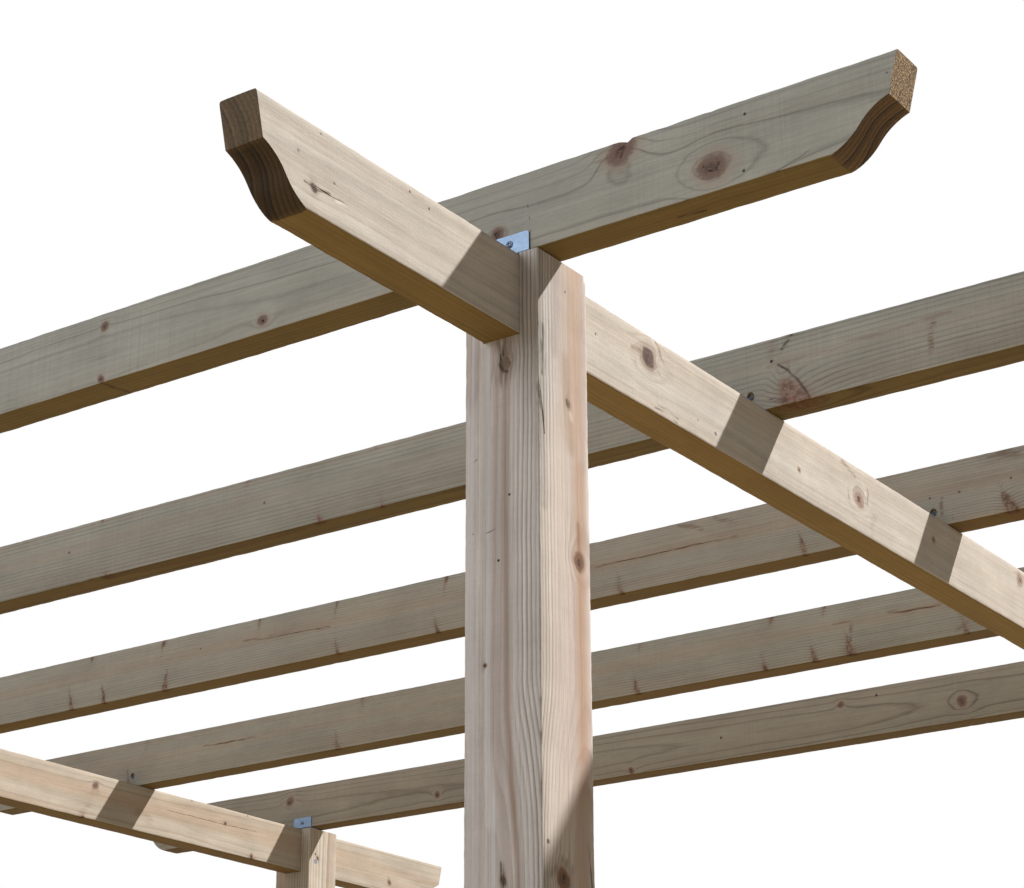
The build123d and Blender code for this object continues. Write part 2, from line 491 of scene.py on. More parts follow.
def section_rows(half, low, high, between):
    """The rows of a timber's section, from its underside up: how far out each one goes, and its height."""
    arc = [(arris_radius * sin(t), arris_radius * cos(t)) for t in np.linspace(0, pi / 2, arris_steps + 1)]
    flat = half - arris_radius
    rows = [(flat + out, low - down) for out, down in arc] + [(half, height) for height in between]
    return rows + [(flat + out, high + rise) for out, rise in reversed(arc)]


def section(columns, rows, run):
    """The points of one section across a timber, as far along it at each height as run says."""
    last = len(columns) - 1
    return np.array([
        [(run(height), np.clip(x, -out, out) if 0 < n < last else np.sign(x) * out, height)
         for n, x in enumerate(columns)]
        for out, height in rows
    ])


def uncut(spots):
    """A grid of points with no check in it yet."""
    return spots, np.zeros(spots.shape[:2])


def wall(line, run):
    """A face's grid, from its places across the timber and how far along it each row of points lies."""
    return uncut(np.stack(np.broadcast_arrays(run, line[:, 1], line[:, 2]), axis=2))


def four_walls(loop, run, checks):
    """A timber's long faces, with their checks. A level timber has its underside in front, its top behind."""
    edges = {"front": loop[0], "back": loop[-1], "left": loop[:, 0], "right": loop[:, -1]}
    walls = {face: wall(edge, run(edge[:, 2])) for face, edge in edges.items()}
    for face, *check in checks:
        cut_check(walls[face], *check_ways[face], *check)
    return walls


def cut_check(grid, axis, outward, mark, begin, finish, width, depth, drift):
    """Opens a drying check in a face: its three lanes follow its line, and the middle one goes in."""
    spots, depths = grid
    places = spots[0, :, axis].copy()
    column = int(np.argmin(np.abs(places - mark)))
    run = spots[:, column, 0]
    share = np.clip((run - begin) / (finish - begin), 0, 1)
    open_here = np.sin(pi * share) ** 0.6 * ((run > begin) & (run < finish))
    ragged = 0.75 + 0.25 * np.sin(run / 5.3) + 0.12 * np.sin(run / 2.1)
    line = (np.sin(run / 31.0) * 0.5 + np.sin(run / 11.0) * 0.25) * open_here
    outside = np.maximum(np.maximum(begin - run, run - finish), 0)
    line += drift * (share - 0.5) * np.clip(1 - outside / check_fade, 0, 1)
    home = places[column]
    for lane, spot in enumerate(places):
        if abs(lane - column) > 1 and abs(spot - home) < check_reach:
            edge = places[0] if spot < home else places[-1]
            spots[:, lane, axis] += line * max(0.0, 1 - abs(spot - home) / min(check_reach, abs(edge - home)))
    for lane, side in ((column - 1, -1), (column, 0), (column + 1, 1)):
        spots[:, lane, axis] += line + side * (0.5 * width * open_here * ragged - 0.3 * (open_here > 0))
    spots[:, column, 3 - axis] -= outward * depth * open_here * ragged
    depths[:, column] = np.maximum(depths[:, column], open_here * ragged)


def forked_post(name, origin, seed, chips, checks):
    """One post from its square-cut foot up to the two tongues of its fork."""
    rng = np.random.default_rng(seed)
    half, slot = post_width / 2, fork_width / 2
    flat, floor = half - arris_radius, post_height - fork_depth
    stations = np.concatenate([
        np.linspace(0, fine_from, round(fine_from / station_pitch) + 1)[:-1],
        np.linspace(fine_from, floor, round((floor - fine_from) / fine_station_pitch) + 1),
    ])
    tongue = np.linspace(floor, post_height, round(fork_depth / fine_station_pitch) + 1)
    full = np.concatenate([stations, tongue[1:]])[:, None]
    cross_marks = marks_on(checks, "front", "back")
    columns = np.concatenate([
        lanes(-flat, -slot, [m for m in cross_marks if m < -slot]),
        lanes(-slot, slot, [m for m in cross_marks if abs(m) < slot])[1:],
        lanes(slot, flat, [m for m in cross_marks if m > slot])[1:],
    ])
    low, high = np.searchsorted(columns, (-slot, slot))
    rows = section_rows(half, -flat, flat, lanes(-flat, flat, marks_on(checks, "left", "right"))[1:-1])

    def level(height, first=0, last=None):
        return uncut(section(columns, rows, lambda _: height)[:, first:last])

    loop = level(0)[0]
    walls = four_walls(loop, lambda _: full, checks)
    grids = [walls["left"], walls["right"], level(0), level(floor, low, high + 1)]
    grids += [level(post_height, 0, low + 1), level(post_height, high)]
    for face in ("front", "back"):
        for first, last, top in ((0, low + 1, None), (high, None, None), (low, high + 1, len(stations))):
            grids.append([part[:top, first:last] for part in walls[face]])
    grids += [wall(loop[:, column], tongue[:, None]) for column in (low, high)]
    points, depths, quads = joined_grids(grids)
    points = weather(points, half, 0.0, half, 0, post_height, chips, rng)
    return skin(name, points, depths, quads, origin, "Z")


def make_post(name, side, end, seed, chips=unchipped, checks=(), **wood):
    """One post with the wood that it was cut from."""
    origin = (side * post_spacing_x / 2 / metre, end * post_spacing_y / 2 / metre, 0.0)
    piece = forked_post(f"{name}_timber", origin, seed, chips, checks)
    tones = dict(fresh=rgb(224, 216, 206), late=rgb(142, 124, 112), blush=rgb(204, 182, 168))
    piece.data.materials.append(sawn_timber(
        f"{name}_wood", "Z", origin, seed=seed, side=post_width / 2, late_share=0.45, **{**tones, **wood},
    ))
    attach(piece, "root")
    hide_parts(name)


green, fawn, orange, umber = rgb(108, 108, 94), rgb(158, 124, 104), rgb(200, 160, 130), rgb(70, 58, 46)
lilac = rgb(226, 222, 224)
make_post(
    "post_front_right", side=1, end=-1, seed=11,
    chips=((), ((2240, 9, 1.8), (2220, 7, 1.2)), (), ((2398, 5, 3.4),)),
    checks=(
        ("right", -41.0, 2190, 2242, 3.0, 5.0, -8.0),
        ("right", 41.0, 1690, 1775, 3.0, 5.0, -14.0),
        ("front", -5.0, 1120, 1480, 1.0, 3.0, 2.0),
    ),
    pith=(-42, 40), lean=(0.002, -0.002), ring=3.4, contrast=1.25, saw=0.25, wander=4.0,
    swelling=1.1, dead_tones=(rgb(84, 68, 56), rgb(140, 118, 98)), core=101.0, blush_amount=0.3, streaks=1.7,
    fresh=rgb(236, 231, 226), late=rgb(138, 118, 108), blush=rgb(214, 195, 186),
    live_tones=(rgb(142, 98, 64), rgb(94, 62, 40), rgb(48, 32, 24)),
    bends=(((1690, 47, -47.5), (250, 80, 300), 11),),
    bands=(
        (5.0, fawn, 0.75, (2264, 6, -47.5), (2150, 5, -47.5), (1900, 6, -47.5), (1830, 11, -47.5),
         (1740, 20, -47.5), (1500, 22, -47.5)),
        (3.0, lilac, 0.6, (2320, -18, -47.5), (1900, -18, -47.5), (1700, -8, -47.5), (1200, -8, -47.5)),
        (2.5, lilac, 0.5, (2320, -37, -47.5), (1500, -37, -47.5)),
        (6.0, rgb(172, 146, 136), 0.5, (2300, -6, -47.5), (1900, -7, -47.5), (1740, 4, -47.5),
         (1300, 4, -47.5)),
        (5.0, rgb(186, 170, 146), 0.5, (2110, -38), (1600, -38)),
        (24.0, rgb(228, 210, 195), 0.5, (2200, -6), (1500, -6)),
        (16.0, rgb(204, 178, 154), 0.6, (2400, 8), (2290, 8), (2210, 4)),
        (9.0, rgb(176, 142, 116), 0.6, (2285, 3), (2244, 8), (2190, 14)),
        (13.0, orange, 0.75, (2400, 24), (2200, 26), (1900, 28), (1700, 24)),
        (7.0, rgb(194, 146, 112), 0.5, (2170, 27), (1860, 27)),
        (4.0, rgb(150, 112, 84), 0.7, (2106, 24), (2076, 25)),
        (5.0, green, 0.5, (2400, -42), (2306, -40), (2110, -38)),
        (8.0, green, 0.35, (2400, -14), (2290, -18)),
    ),
    knots=(
        ((2066, 25), 9, 20), ((1949, -20, -47.5), 2.2, 20, (-20, 30)), ((1731, -10), 9, 20),
        ((1250, 18), 9, 20), ((980, -8, -47.5), 8, 20), ((620, -12), 8, 20),
    ),
    dead_knots=(
        ((2276, 6, -47.5), 7, 20, (6, 30)), ((1730, 1, -47.5), 3.5, 50, (1, 30)), ((2238, 9), 4.0, 30),
        ((1390, 20, -47.5), 4, 40, (20, 30)),
    ),
    pins=(
        ((2127, 10, -47.5), 1.4, 1.0), ((2058, -4, -47.5), 1.5, 1.0), ((2367, 5), 1.6, 0.6),
        ((1764, -37), 2.4, 0.8), ((2093, -36, -47.5), 1.0, 0.5),
    ),
    strokes=(
        (5.0, rgb(78, 76, 60), 0.9, (2312, -41), (2257, -38)),
        (1.6, umber, 0.9, (2244, -46), (2222, -44), (2203, -40), (2189, -36)),
        (4.5, rgb(228, 210, 194), 0.9, (2227, 13), (2221, 15)),
        (14.0, rgb(140, 118, 100), 0.8, (2296, 3, -47.5), (2276, 6, -47.5), (2260, 2, -47.5)),
        (2.4, umber, 0.9, (2296, 3, -47.5), (2286, 3, -47.5)),
        (2.4, rgb(56, 44, 36), 0.95, (2286, -1, -47.5), (2276, -2, -47.5), (2268, 2, -47.5),
         (2266, 7, -47.5)),
        (2.4, rgb(196, 178, 154), 0.95, (2283, 11, -47.5), (2277, 13, -47.5)),
        (1.2, fawn, 0.9, (2090, -19, -47.5), (2093, -8, -47.5)),
        (1.2, fawn, 0.9, (2086, -40, -47.5), (2088, -30, -47.5)),
        (1.2, fawn, 0.9, (2168, -40, -47.5), (2174, -32, -47.5)),
        (4.5, umber, 0.8, (1745, 0, -47.5), (1722, 2, -47.5)),
        (6.0, umber, 0.45, (1732, -33), (1750, -16), (1746, 2)),
    ),
)
make_post(
    "post_front_left", side=-1, end=-1, seed=12,
    checks=(("front", 12.0, 900, 1400, 1.2, 3.0, 3.0), ("left", -8.0, 1700, 2150, 1.0, 3.0, -3.0)),
    pith=(40, 70), lean=(-0.003, 0.002), ring=5.2, saw=0.3, wander=6.0, core=112.0,
    knots=(
        ((2010, 8, -47.5), 8, 25), ((1430, -22, -47.5), 6, 25), ((760, 15, -47.5), 9, 25),
        ((1180, -47.5, 10), 7, 25), ((380, -47.5, -12), 8, 25),
    ),
    dead_knots=(((1660, -47.5, -15), 6, 25),),
)
make_post(
    "post_back_right", side=1, end=1, seed=13,
    checks=(("right", 5.0, 700, 1300, 1.2, 3.0, 4.0), ("back", -12.0, 1500, 2000, 1.0, 3.0, 3.0)),
    pith=(-50, -40), lean=(0.003, 0.002), ring=4.6, saw=0.3, wander=6.0, core=92.0,
    knots=(
        ((1900, -8), 8, 22), ((1320, 18), 6, 22), ((620, -14), 9, 22),
        ((1050, 10, 47.5), 7, 22), ((420, -14, 47.5), 8, 22),
    ),
    dead_knots=(((1610, -10, 47.5), 6, 22),),
)
make_post(
    "post_back_left", side=-1, end=1, seed=14,
    checks=(("right", -14.0, 1000, 1500, 1.1, 3.0, 3.0),),
    pith=(-64, 30), lean=(0.002, 0.003), ring=4.8, saw=0.3, wander=6.0, core=100.0,
    fresh=rgb(212, 202, 188), late=rgb(146, 126, 110), blush=rgb(192, 168, 148),
    knots=(((1830, 6), 8, 20), ((1210, -18), 7, 20), ((540, 12), 9, 20)),
    dead_knots=(((1520, 8, -47.5), 6, 20), ((2335, -16), 3.5, 40)),
    pins=(((2344, -26), 2.4, 0.8),),
)


# The two beams: the same sawn softwood on edge, let down into the forks and run on past the posts.
# Each end is sawn to an ogee under a raked nose, so its cut faces show the rings end on.
timber_thickness = 47
timber_depth = 95
nose_height = 47
nose_rake = 12
nose_steps = 7
ogee_run = 68
ogee_sagitta = 3.2
ogee_steps = 9
end_zone = 100
end_stations = 16
beam_length = 3041
fork_floor = post_height - fork_depth
socket_profile = ((0.0029, -0.0031), (0.0054, 0.0), (0.0054, 0.012))
socket_sides = 20


def ogee_half(start, finish, bulge):
    """Points along one arc of the ogee, which swells to the left of its own way by a negative bulge."""
    start, finish = np.array(start, float), np.array(finish, float)
    chord = np.linalg.norm(finish - start)
    radius = chord**2 / (8 * abs(bulge)) + abs(bulge) / 2
    way = (finish - start) / chord
    aside = np.array([-way[1], way[0]]) * np.sign(bulge)
    centre = (start + finish) / 2 - aside * (radius - abs(bulge))
    sweep = np.arcsin(chord / 2 / radius)
    turns = np.linspace(-sweep, sweep, ogee_steps)[:, None]
    return centre + radius * (aside * np.cos(turns) + way * np.sin(turns))


def end_profile():
    """How far the shaped end stands back from the tip at each height, from the underside up."""
    nose_foot = (-nose_rake, timber_depth - nose_height)
    ogee_foot = (-nose_rake - ogee_run, 0)
    turn = ((nose_foot[0] + ogee_foot[0]) / 2, nose_foot[1] / 2)
    upper, lower = ogee_half(nose_foot, turn, -ogee_sagitta), ogee_half(turn, ogee_foot, ogee_sagitta)
    profile = np.concatenate([np.linspace((0, timber_depth), nose_foot, nose_steps), upper[1:], lower[1:]])
    return profile[::-1, 1], profile[::-1, 0]


profile_heights, profile_setbacks = end_profile()


def sink_sockets(piece, sockets):
    """Sinks the tapered socket of each countersunk screw, given by the middle of its head and its way in."""
    work = bmesh.new()
    for place, way in sockets:
        turn = Matrix.Translation(place) @ Vector(way).to_track_quat("-Z", "Y").to_matrix().to_4x4()
        rings = []
        for radius, rise in socket_profile:
            rings.append([
                work.verts.new(turn @ Vector((radius * cos(a), radius * sin(a), rise)))
                for a in np.linspace(0, 2 * pi, socket_sides, endpoint=False)
            ])
        for below, above in pairwise(rings):
            for n in range(socket_sides):
                m = (n + 1) % socket_sides
                work.faces.new((below[n], below[m], above[m], above[n]))
        work.faces.new(rings[0][::-1])
        work.faces.new(rings[-1])
    mesh = bpy.data.meshes.new("socket_cutter")
    work.to_mesh(mesh)
    work.free()
    cutter = put("socket_cutter", mesh)
    cut = piece.modifiers.new("sockets", "BOOLEAN")
    cut.operation = "DIFFERENCE"
    cut.solver = "EXACT"
    cut.object = cutter
    seen_now = piece.evaluated_get(bpy.context.evaluated_depsgraph_get())
    finished = bpy.data.meshes.new_from_object(seen_now)
    piece.modifiers.remove(cut)
    piece.data = finished
    finished.set_sharp_from_angle(angle=crease)
    bpy.data.objects.remove(cutter)


def shaped_timber(name, length, foot, along, seed, chips, checks, sockets=(), **wood):
    """One timber on edge with both ends shaped; its own places are from its middle, up from its underside."""
    rng = np.random.default_rng(seed)
    half, tip = timber_thickness / 2, length / 2
    flat, straight = half - arris_radius, tip - end_zone
    low, high = arris_radius, timber_depth - arris_radius
    ends = np.linspace(straight, tip, end_stations)
    middle = np.linspace(-straight, straight, round(2 * straight / station_pitch) + 1)
    stations = np.concatenate([-ends[::-1], middle[1:-1], ends])[:, None]
    rise_marks = marks_on(checks, "left", "right")
    heights = [h for h in profile_heights if low + 1 < h < high - 1]
    heights = [h for h in heights if all(abs(h - m) > 1.5 for m in rise_marks)]
    heights += [m + step for m in rise_marks for step in (-check_lane, 0.0, check_lane)]
    columns = lanes(-flat, flat, marks_on(checks, "front", "back"))
    rows = section_rows(half, low, high, sorted(heights))

    def place(run, height):
        """Where a station lies along the timber at one height, closing up towards the shaped end."""
        reach = tip + np.interp(height, profile_heights, profile_setbacks)
        held = np.minimum(np.abs(run), straight)
        past = np.clip(np.abs(run) - straight, 0, None)
        return np.sign(run) * (held + past * (reach - straight) / (tip - straight))

    near_cap, far_cap = [section(columns, rows, lambda height: place(run, height)) for run in (-tip, tip)]
    walls = four_walls(far_cap, lambda heights: place(stations, heights), checks)
    points, depths, quads = joined_grids([*walls.values(), uncut(near_cap), uncut(far_cap)])
    points = weather(points, half, timber_depth / 2, timber_depth / 2, -tip, length, chips, rng)
    piece = skin(f"{name}_timber", points, depths, quads, foot, along)
    if sockets:
        sink_sockets(piece, sockets)
    middle = (foot[0], foot[1], foot[2] + timber_depth / 2 / metre)
    piece.data.materials.append(sawn_timber(f"{name}_wood", along, middle, seed=seed, **wood))
    return piece


def make_beam(name, side, seed, chips=unchipped, checks=(), **wood):
    """One beam with the wood that it was cut from, down in its two forks."""
    foot = (side * post_spacing_x / 2 / metre, 0.0, fork_floor / metre)
    wood = dict(wood, side=timber_thickness / 2, contrast=0.6, saw=0.5, swelling=1.1)
    piece = shaped_timber(name, beam_length, foot, "Y", seed, chips, checks, **wood)
    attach(piece, "root")
    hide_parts(name)


# The first colour paints scars, and also the painted shadow line beyond a ridge by a knot; the second is a
# painted highlight on that ridge.
scar_and_ridge_shadow, painted_ridge_highlight = rgb(150, 120, 96), rgb(234, 226, 214)
make_beam(
    "beam_right", side=1, seed=21,
    chips=((), (), (), ((-811, 9, 1.8), (-309, 12, 0.8))),
    checks=(("right", 29.5, -1430, -1396, 1.4, 2.5, -1.0),),
    pith=(-70, 8), lean=(0.006, 0.002), ring=5.4, blush_amount=0.4,
    # end_light darkens this beam's end grain more than the others': partly its own tone, partly painted
    # shade.
    fresh=rgb(217, 209, 199), late=rgb(160, 145, 129), blush=rgb(204, 186, 169), speckle=0.2, end_light=0.43,
    live_tones=(rgb(186, 156, 138), rgb(148, 116, 100), rgb(84, 50, 44)),
    dead_tones=(rgb(66, 46, 42), rgb(112, 84, 76)),
    knots=(
        ((-309, 1), 10, 25), ((216, 30), 7, 30), ((700, -12), 9, 30),
        ((1180, 16), 8, 30), ((-475, -10), 3, 25), ((-82, 8), 4, 25),
    ),
    dead_knots=(((-833, 18), 12.5, 12), ((-1434, -20), 4.0, 30)),
    pins=(
        ((-1285, 39), 1.6, 0.8), ((-1253, 33), 1.6, 0.8), ((-1458, 9), 1.8, 0.5),
        ((-1404, -3), 1.6, 0.6), ((-1426, 41), 1.4, 0.6), ((-944, 7), 1.6, 0.8),
        ((-683, -28), 2.6, 0.7), ((-724, -24), 1.6, 0.5),
    ),
    strokes=(
        (4.0, rgb(56, 40, 36), 0.8, (-841, 26), (-836, 12)),
        (5.0, scar_and_ridge_shadow, 0.7, (-868, 20), (-851, 21)),
        (4.0, scar_and_ridge_shadow, 0.4, (-862, 12), (-860, 2)),
        # Painted shadow line beyond a ridge right of this knot, then the painted highlight on that ridge.
        (3.2, scar_and_ridge_shadow, 0.95, (-817, 46), (-810, 38), (-805, 26)),
        (1.6, rgb(176, 150, 128), 0.7, (-805, 26), (-798, 24)),
        (1.7, painted_ridge_highlight, 1.0, (-824, 46), (-818, 38), (-813, 25), (-815, 12), (-822, 5)),
        (2.2, rgb(182, 158, 138), 0.8, (-811, 8), (-807, 5)),
        (1.6, umber, 0.7, (-821, -39), (-780, -42), (-738, -45)),
        (1.2, umber, 0.6, (-815, -34), (-770, -38)),
        (2.0, umber, 0.8, (-1448, -18), (-1434, -20), (-1410, -19)),
        (6.0, scar_and_ridge_shadow, 0.6, (-350, 42), (-318, 30)),
        # Painted shadow line, then the painted highlight inside it, on a ridge right of this knot.
        (1.8, scar_and_ridge_shadow, 0.9, (-287, 36), (-279, 14), (-286, -8)),
        (3.0, painted_ridge_highlight, 0.9, (-295, 30), (-287, 12), (-293, -4)),
        (3.0, scar_and_ridge_shadow, 0.7, (-338, 3), (-337, -6)),
        (9.0, scar_and_ridge_shadow, 0.3, (-266, -14), (-276, -34)),
        (1.4, rgb(110, 62, 54), 0.9, (-316, 8), (-311, 1), (-301, -7)),
    ),
)
make_beam(
    "beam_left", side=-1, seed=22,
    checks=(("right", 60.0, 560, 860, 0.8, 2.5, 3.0),),
    pith=(-66, -6), lean=(0.005, 0.003), ring=5.0, blush_amount=0.5,
    fresh=rgb(194, 183, 168), late=rgb(144, 127, 108), blush=rgb(182, 154, 130), speckle=0.3, end_light=0.7,
    knots=(
        ((356, 24), 7, 30), ((746, 15), 4, 30), ((836, -42), 5, 30), ((1318, -22), 6, 30),
        ((-120, -10), 8, 30), ((-610, 18), 9, 30), ((-1080, -20), 7, 30), ((327, -46), 4, 30),
    ),
    pins=(((640, 44), 2.0, 0.7), ((818, 44), 2.0, 0.7)),
    strokes=(
        (14.0, scar_and_ridge_shadow, 0.45, (480, -10), (515, -18)),
        (8.0, scar_and_ridge_shadow, 0.4, (340, -20), (318, -44)),
    ),
)


# The five rafters: the same section on edge across the beams. The first and last are cut from the
# side of the trunk, the three between from its heart, so their knots run out to the edges as spikes.
rafter_length = 2995
rafter_faces = (-1089.5, -550.5, -23.5, 483.5, 1002.5)
end_rafter_lift = 2
toe_screw_rise = 22
toe_screw_way = (0, cos(radians(45)), -sin(radians(45)))


def toe_heads(face):
    """The middles of the toe screws' heads on one rafter, over the left and the right beam."""
    height = post_height + toe_screw_rise
    return [Vector((side * post_spacing_x / 2, face, height)) / metre for side in (-1, 1)]


def make_rafter(number, chips=unchipped, checks=(), **wood):
    """One rafter with the wood that it was cut from, counted from the front."""
    name, seed, face = f"rafter_{number}", 30 + number, rafter_faces[number - 1]
    inner = 1 < number < len(rafter_faces)
    lift = 0 if inner else end_rafter_lift
    foot = (0.0, (face + timber_thickness / 2) / metre, (post_height + lift) / metre)
    sockets = [(head, toe_screw_way) for head in toe_heads(face) if inner]
    wood = dict(wood, side=-timber_thickness / 2)
    piece = shaped_timber(name, rafter_length, foot, "X", seed, chips, checks, sockets, **wood)
    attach(piece, "root")
    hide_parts(name)


brown, dark, rust = rgb(128, 100, 84), rgb(72, 60, 50), rgb(140, 104, 84)
make_rafter(
    1,
    chips=((), (), ((1181, 8, 6.0), (1235, 18, 1.5), (1286, 8, 1.2)), ()),
    pith=(45, -18), lean=(0.008, 0.004), ring=6.0, late_share=0.16, blush_amount=0.2, wander=11.0,
    late=rgb(124, 118, 114), swelling=1.2,
    knots=(
        ((1283, -18), 14, 38), ((681, -30), 7, 25), ((424, 29), 5.5, 25),
        ((425, -41), 5, 25), ((1174, 34), 14, 25), ((1014, -18), 8, 25),
        ((-60, 12), 9, 30), ((-130, -30), 6, 30), ((-560, 20), 8, 30),
        ((-980, -12), 11, 30), ((-1060, 34), 5, 30),
    ),
    pins=(((1325, 30), 1.7, 0.9), ((1321, -34), 1.7, 0.9), ((1485, 24), 1.2, 0.6)),
    strokes=(
        (0.8, dark, 0.8, (1059, -38), (1058, -12), (1054, 7)),
        (5.0, dark, 0.7, (428, -18, -47.5), (434, 18, -47.5)),
        (2.8, dark, 0.9, (1228, 3, -47.5), (1242, 6, -47.5), (1256, 9, -47.5)),
        (1.0, dark, 0.5, (1356, -47), (1404, -32)),
        (9.0, rgb(150, 118, 106), 0.5, (1150, 36), (1176, 30), (1174, 14)),
        (2.5, rgb(84, 54, 50), 0.8, (1178, 38), (1175, 26)),
    ),
)
make_rafter(
    2,
    pith=(-14, 12), lean=(0.001, 0.001), ring=5.6, contrast=0.9, blush_amount=0.3, core=9.0,
    fresh=rgb(178, 174, 164), late=rgb(128, 119, 110), spike_tones=(rgb(166, 134, 120), rgb(130, 98, 86)),
    spikes=(
        ((1086, -20, -47.5), 22, 25), ((1084, -20, 47.5), 5, 30), ((424, -20, 47.5), 5, 15),
        ((436, -20, -47.5), 4, 15), ((188, -20, 47.5), 4, 15), ((325, -22, -47.5), 5, 15),
        ((-104, -20, 47.5), 4, 15), ((-93, -20, -47.5), 5, 15), ((-268, -20, 47.5), 4, 15),
        ((-560, -20, 47.5), 6, 15), ((-640, -20, -47.5), 6, 15), ((-1010, -20, -47.5), 7, 15),
        ((-1120, -20, 47.5), 6, 15),
    ),
    pins=(((1055, 16), 2.2, 0.9), ((220, 4), 2.2, 0.6), ((-173, 6), 2.2, 0.6)),
    strokes=(
        (5.0, rust, 0.7, (1276, 12), (1270, -24)),
        (4.0, rust, 0.35, (1300, 20), (1050, 8)),
        (2.4, dark, 0.9, (1064, 7), (1079, -4), (1093, -22), (1106, -44)),
        (8.0, rgb(176, 172, 166), 0.5, (1098, -12), (1116, -34)),
        (4.0, rgb(112, 84, 84), 0.8, (1052, -36), (1076, -43)),
        (2.2, rgb(180, 96, 76), 0.8, (1078, -41), (1082, -41)),
        (3.0, dark, 0.8, (1088, 46), (1076, 34), (1069, 24)),
        (8.0, rust, 0.5, (1060, 40), (1056, 26)),
        (2.0, dark, 0.8, (1259, 8, -47.5), (1268, 12, -47.5)),
    ),
)
make_rafter(
    3,
    checks=(("left", 54.0, -256, -107, 0.9, 2.5, -4.0), ("left", 53.0, 443, 683, 0.9, 2.5, 0.0)),
    pith=(-21, 7), lean=(0.0, -0.001), ring=4.4, contrast=0.85, blush_amount=0.35, core=9.0,
    fresh=rgb(180, 174, 161), late=rgb(132, 120, 108),
    spikes=(
        ((-645, -21, 47.5), 5, 14), ((-690, -21, -47.5), 6, 14), ((-610, -21, -47.5), 5, 10),
        ((-466, -21, 47.5), 6, 16), ((-461, -21, -47.5), 7, -4), ((-244, -21, 47.5), 4, 12),
        ((-72, -21, 47.5), 4, 12), ((-69, -21, -47.5), 5, 12), ((140, -21, -47.5), 5, 12),
        ((158, -21, 47.5), 5, 12), ((494, -21, -47.5), 5, 12), ((814, -21, -47.5), 5, 12),
        ((1142, -21, -47.5), 11, 20), ((-930, -21, 47.5), 6, 12), ((-1180, -21, -47.5), 6, 12),
    ),
    pins=(
        ((1019, -2), 1.8, 0.7), ((1065, -2), 1.8, 0.7), ((1144, 2), 1.8, 0.7),
        ((-380, 15), 1.8, 0.6),
    ),
    strokes=(
        (5.0, brown, 0.6, (600, 44), (640, 30)),
        (5.0, brown, 0.55, (665, 42), (700, 26)),
        (2.6, rust, 0.7, (430, 6), (560, 7), (700, 5)),
        (2.6, rust, 0.8, (-280, 12), (-180, 9), (-90, 3)),
        (3.6, rust, 0.7, (1037, -6), (1035, -30)),
        (10.0, brown, 0.7, (1115, 46), (1165, 34)),
        (0.9, rgb(90, 100, 120), 0.8, (1052, -22), (1051, -40)),
    ),
)
make_rafter(
    4,
    checks=(("left", 56.0, -818, -695, 0.9, 2.5, -2.0), ("left", 58.0, 703, 794, 0.9, 2.5, -4.0)),
    pith=(-20, 9), lean=(0.0, 0.001), ring=4.6, contrast=0.8, blush_amount=0.35, core=9.0,
    fresh=rgb(178, 171, 157), late=rgb(130, 117, 105),
    spikes=(
        ((-1031, -21, -47.5), 6, 12), ((-986, -21, 47.5), 5, 12), ((205, -21, -47.5), 7, 12),
        ((214, -21, 47.5), 4, 12), ((479, -21, 47.5), 7, 12), ((464, -21, -47.5), 5, 12),
        ((560, -21, -47.5), 7, 12), ((628, -21, -47.5), 9, 12), ((583, -21, 47.5), 4, 12),
        ((839, -21, -47.5), 5, 12), ((-420, -21, 47.5), 6, 12), ((-480, -21, -47.5), 6, 12),
        ((1180, -21, 47.5), 6, 12), ((-1300, -21, -47.5), 6, 12),
    ),
    strokes=(
        (2.6, rust, 0.8, (-830, 10), (-690, 8)),
        (3.2, rust, 0.9, (700, 13), (736, 10), (796, 10)),
        (2.4, rust, 0.7, (598, 12), (630, 12)),
        (3.6, brown, 0.8, (632, 10), (628, -26)),
        (5.0, brown, 0.5, (822, -40), (842, -28)),
    ),
)
make_rafter(
    5,
    pith=(42, -4), lean=(0.010, 0.003), ring=5.6, late_share=0.18, blush_amount=0.25, wander=11.0,
    fresh=rgb(168, 158, 142), late=rgb(112, 101, 90), swelling=1.2,
    knots=(
        ((-628, -22), 6, 25), ((-137, -40), 6, 25), ((343, 24), 6, 25),
        ((593, -9), 10, 25), ((-1040, 18), 9, 25), ((1010, 20), 8, 25),
        ((1290, -20), 7, 25),
    ),
    pins=(((75, -2), 2.4, 0.9), ((419, 30), 2.6, 0.9)),
)


# The four angle brackets: pressed zinc-plated steel, one leg screwed to each end rafter's front face
# and the other under it on the beam. A pan head screw with a cross recess holds the upper leg.
bracket_shift = {-1: 10, 1: 24}
bracket_gauge = 2
bracket_hole_rise = 13.94
pan_head = dict(diameter=0.0086, height=0.0026, recess=0.0046, slot=0.0011)
screw_crease = radians(32)
cone_facets = 32
shank_facets = 20
ball_facets = 40
ball_rings = 24


def zinc(name, spangle, seed):
    """Zinc plating: pale blue-grey, with faint crystals and small dull scuffs."""
    material, sheet = new_material(name)
    place = sheet.make("ShaderNodeTexCoord", out="Object") * metre
    cells = {"Vector": place, "Scale": 1 / spangle}
    crystal = sheet.make("ShaderNodeTexVoronoi", cells, out="Color").parts()[0]
    scuff = place.noise((1 / 9, 1 / 9, 1 / 2.5), seed, detail=4, roughness=0.65)
    cloud = place.noise((1 / 22, 1 / 22, 1 / 22), seed + 1)
    colour = sheet.blend(crystal * 0.5 + cloud * 0.5, rgb(98, 115, 137), rgb(128, 145, 168))
    relief = crystal * 0.15 + scuff * 0.35
    steel = sheet.make("ShaderNodeBsdfPrincipled", {
        "Base Color": colour.tint(rgb(120, 126, 134), scuff.rise(0.58, 0.74) * 0.55),
        "Roughness": crystal * 0.12 + scuff * 0.25 + 0.24,
        "Normal": sheet.make("ShaderNodeBump", {"Height": relief, "Strength": 0.6, "Distance": 0.0003}),
        "Metallic": 0.75,
    })
    sheet.make("ShaderNodeOutputMaterial", {0: steel})
    return material


